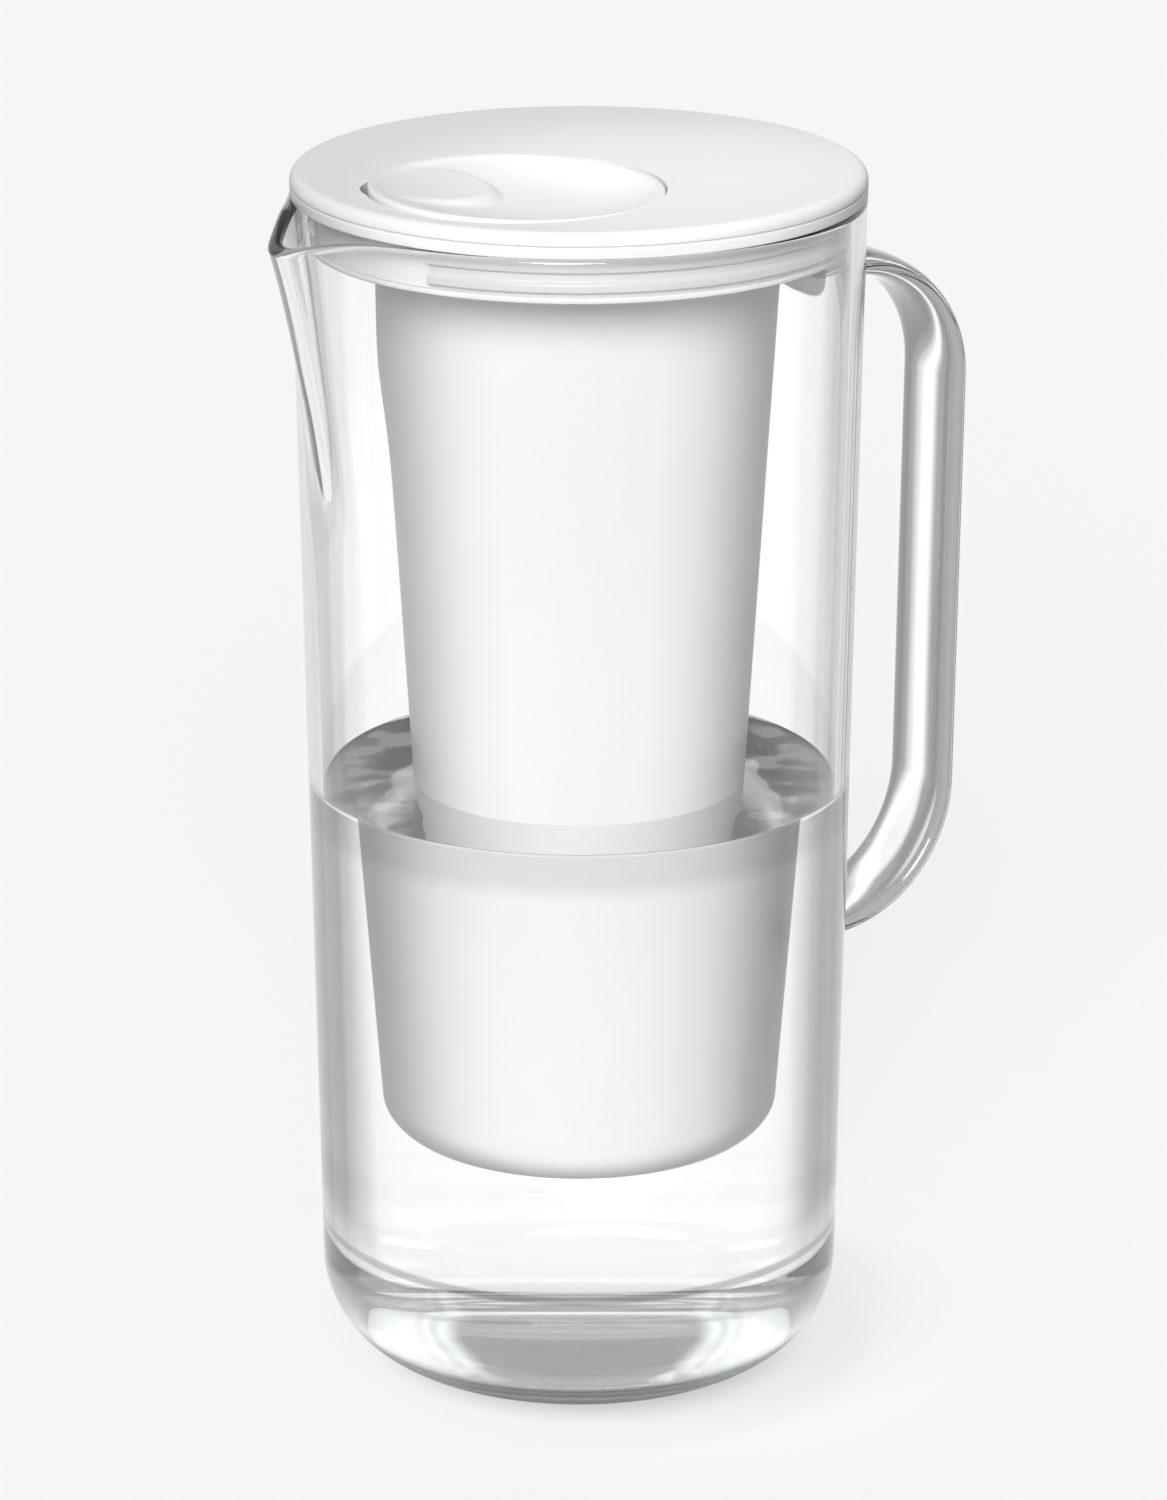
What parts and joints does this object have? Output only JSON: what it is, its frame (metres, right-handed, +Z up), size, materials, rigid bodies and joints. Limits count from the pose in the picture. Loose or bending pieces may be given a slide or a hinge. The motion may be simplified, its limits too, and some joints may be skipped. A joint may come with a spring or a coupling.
{
  "type": "water filter pitcher",
  "caption": "Tall clear pitcher with spout and side handle, a white drop-in filter reservoir, and a flat white lid with a hinged fill flap.",
  "frame": {"origin": "on the jug axis at the floor, in the middle of the flat underside", "axes": "+Z up, -X along the spout, +X along the handle"},
  "size_m": [0.165, 0.12, 0.2638],
  "materials": {
    "clear_glass": "clear polished",
    "white_plastic": "satin white moulding",
    "soft_seal": "translucent white silicone",
    "pin_steel": "ground",
    "cartridge_plastic": "matte white moulding",
    "screen_mesh": "fine woven mesh",
    "carbon_granules": "granular",
    "fleece": "felted",
    "resin_beads": "fine beads"
  },
  "bodies": {
    "jug": {"jug_body": "clear_glass", "handle": "clear_glass"},
    "reservoir": {"reservoir": "white_plastic", "mouth_seal": "soft_seal"},
    "lid": {"lid_cover": "white_plastic", "lid_gasket": "soft_seal"},
    "flap": {"fill_flap": "white_plastic", "hinge_pins": "pin_steel"},
    "cartridge": {"cartridge_shell": "cartridge_plastic", "cartridge_cap": "cartridge_plastic", "upper_screen": "screen_mesh", "carbon_bed": "carbon_granules", "fleece_divider": "fleece", "resin_bed": "resin_beads", "lower_screen": "screen_mesh", "outlet_grid": "cartridge_plastic", "cartridge_seal": "soft_seal"}
  },
  "joints": [
    {"name": "reservoir_lift", "type": "slide", "parent": "jug", "child": "reservoir", "axis": [0, 0, 1], "range_m": [0, 0.23]},
    {"name": "lid_lift", "type": "slide", "parent": "reservoir", "child": "lid", "axis": [0, 0, 1], "range_m": [0, 0.08]},
    {"name": "flap_hinge", "type": "hinge", "parent": "lid", "child": "flap", "pos_m": [-0.00632, -0.0196, 0.2607], "axis": [0.515, 0.8572, 0], "range_deg": [0, 65]},
    {"name": "cartridge_lift", "type": "slide", "parent": "reservoir", "child": "cartridge", "axis": [0, 0, 1], "range_m": [0, 0.115]}
  ]
}
